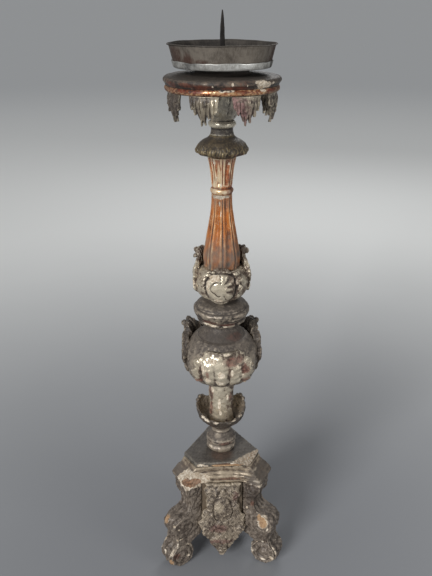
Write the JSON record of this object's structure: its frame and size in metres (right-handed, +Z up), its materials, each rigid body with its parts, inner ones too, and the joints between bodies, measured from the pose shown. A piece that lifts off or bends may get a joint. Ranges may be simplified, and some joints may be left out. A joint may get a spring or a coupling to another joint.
{
  "type": "altar candlestick",
  "caption": "Tall carved wooden altar candlestick on a triangular base with scroll legs, with an iron pricket and a loose drip pan for a candle.",
  "frame": {"origin": "middle of the bounding box on the floor; the upright axis of the stem is 15.5 mm in front of it", "axes": "+Z up along the stem, -Y towards the carved panel that faces the viewer, +X to the viewer's right"},
  "size_m": [0.1944, 0.184, 0.84],
  "materials": {
    "silvered_wood": "worn silver leaf under a yellowed varnish",
    "varnished_wood": "orange-brown varnish over silver leaf, semi-gloss",
    "dusty_wood": "dark dusty varnish, matt",
    "aged_wood": "grey-brown worn varnish with chipped ground",
    "tinned_iron": "tinned sheet iron, rusty above",
    "wrought_iron": "dark forged iron"
  },
  "bodies": {
    "candlestick": {"scroll_leg_1": "aged_wood", "cartouche_panel_1": "aged_wood", "scroll_leg_2": "aged_wood", "cartouche_panel_2": "aged_wood", "scroll_leg_3": "aged_wood", "cartouche_panel_3": "aged_wood", "base_core": "dusty_wood", "base_cornice": "aged_wood", "base_cap": "dusty_wood", "bell_foot": "silvered_wood", "leaf_dish": "silvered_wood", "stem_column": "silvered_wood", "vase_knop": "dusty_wood", "knop_leaf_1": "silvered_wood", "knop_leaf_2": "silvered_wood", "knop_leaf_3": "silvered_wood", "saucer": "dusty_wood", "calyx": "silvered_wood", "lower_shaft": "varnished_wood", "upper_shaft": "varnished_wood", "leaf_collar": "aged_wood", "neck_cup": "silvered_wood", "top_disc": "dusty_wood", "valance_leaf_1": "silvered_wood", "valance_leaf_2": "silvered_wood", "valance_leaf_3": "silvered_wood", "valance_leaf_4": "silvered_wood", "valance_leaf_5": "silvered_wood", "valance_leaf_6": "silvered_wood", "valance_leaf_7": "silvered_wood", "valance_leaf_8": "silvered_wood", "pricket_spike": "wrought_iron"},
    "drip_pan": {"drip_pan_floor": "tinned_iron", "drip_pan_wall": "tinned_iron", "drip_pan_seam": "tinned_iron"}
  },
  "joints": [
    {"name": "pan_lift", "type": "slide", "parent": "candlestick", "child": "drip_pan", "axis": [0, 0, 1], "range_m": [0, 0.08]}
  ]
}
